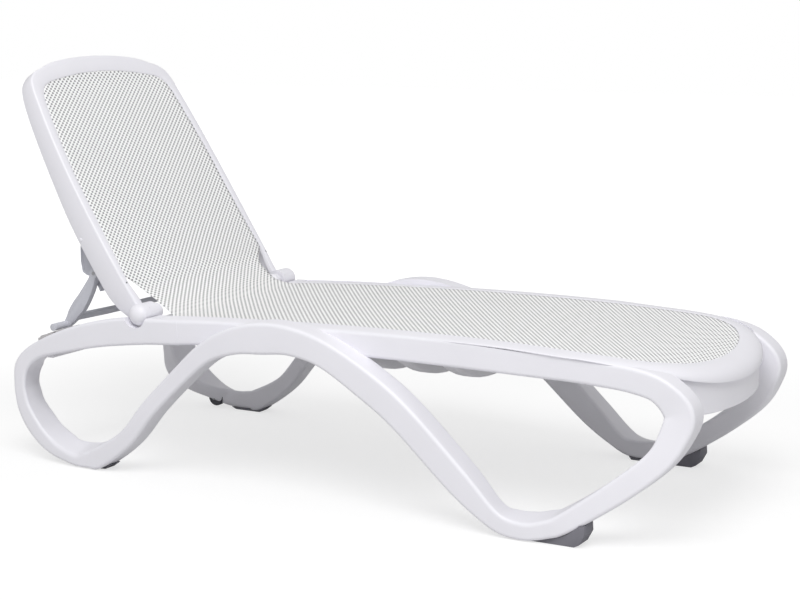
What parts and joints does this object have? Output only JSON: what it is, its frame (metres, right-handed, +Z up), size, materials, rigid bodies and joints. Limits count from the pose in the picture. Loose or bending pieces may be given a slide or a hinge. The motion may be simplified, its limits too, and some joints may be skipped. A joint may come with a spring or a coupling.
{
  "type": "sun lounger",
  "caption": "Sun lounger with a looped resin frame, a woven sling, a reclining back on a rear prop and small transport wheels.",
  "frame": {"origin": "the point on the floor below the centre of the lounger's box at rest", "axes": "+X towards the foot end, +Y to the sitter's left, +Z up"},
  "size_m": [1.6042, 0.71, 0.8832],
  "materials": {
    "white_resin": "moulded, satin",
    "prop_resin": "moulded, satin",
    "woven_sling": "open weave of coated yarn",
    "pad_rubber": "matt",
    "wheel_plastic": "matt",
    "dark_plastic": "matt",
    "steel": "plain"
  },
  "bodies": {
    "base": {"cross_member_front": "white_resin", "cross_member_head": "white_resin", "cross_member_hinge": "white_resin", "cross_member_middle": "white_resin", "cross_member_rear": "white_resin", "foot_apron": "white_resin", "front_pad_left": "pad_rubber", "front_pad_right": "pad_rubber", "hinge_lug_left": "white_resin", "hinge_lug_right": "white_resin", "hinge_sling": "woven_sling", "lug_screw_left_front": "steel", "lug_screw_left_rear": "steel", "lug_screw_right_front": "steel", "lug_screw_right_rear": "steel", "pivot_pin_left": "steel", "pivot_pin_right": "steel", "prop_rack_left": "prop_resin", "prop_rack_right": "prop_resin", "rear_pad_left": "pad_rubber", "rear_pad_right": "pad_rubber", "seat_rim": "white_resin", "seat_sling": "woven_sling", "side_frame_left": "white_resin", "side_frame_right": "white_resin", "wheel_axle_left": "steel", "wheel_axle_right": "steel"},
    "back": {"back_crossbar": "white_resin", "back_frame": "white_resin", "back_sling": "woven_sling", "hub_cap_left": "white_resin", "hub_cap_right": "white_resin", "prop_bracket_left": "prop_resin", "prop_bracket_right": "prop_resin", "prop_pin_left": "steel", "prop_pin_right": "steel", "skirt_screw_left": "steel", "skirt_screw_right": "steel", "sling_peg_left": "dark_plastic", "sling_peg_right": "dark_plastic"},
    "prop": {"prop_arm_left": "prop_resin", "prop_arm_right": "prop_resin", "prop_crossbar": "prop_resin"},
    "wheel_right": {"wheel_right": "wheel_plastic"},
    "wheel_left": {"wheel_left": "wheel_plastic"}
  },
  "joints": [
    {"name": "back_recline", "type": "hinge", "parent": "base", "child": "back", "pos_m": [-0.4538, 0, 0.3449], "axis": [0, -1, 0], "range_deg": [-11.6, 58.4], "deforming": ["hinge_sling"]},
    {"name": "prop_swing", "type": "hinge", "parent": "back", "child": "prop", "pos_m": [-0.5985, 0, 0.41979], "axis": [0, -1, 0], "range_deg": [-116.8, 23.2]},
    {"name": "wheel_right_spin", "type": "hinge", "parent": "base", "child": "wheel_right", "pos_m": [-0.6678, -0.29, 0.024], "axis": [0, 1, 0], "continuous": true},
    {"name": "wheel_left_spin", "type": "hinge", "parent": "base", "child": "wheel_left", "pos_m": [-0.6678, 0.29, 0.024], "axis": [0, 1, 0], "continuous": true}
  ],
  "couplings": [
    {"joint": "prop_swing", "follows": "back_recline", "ratio": -2}
  ]
}
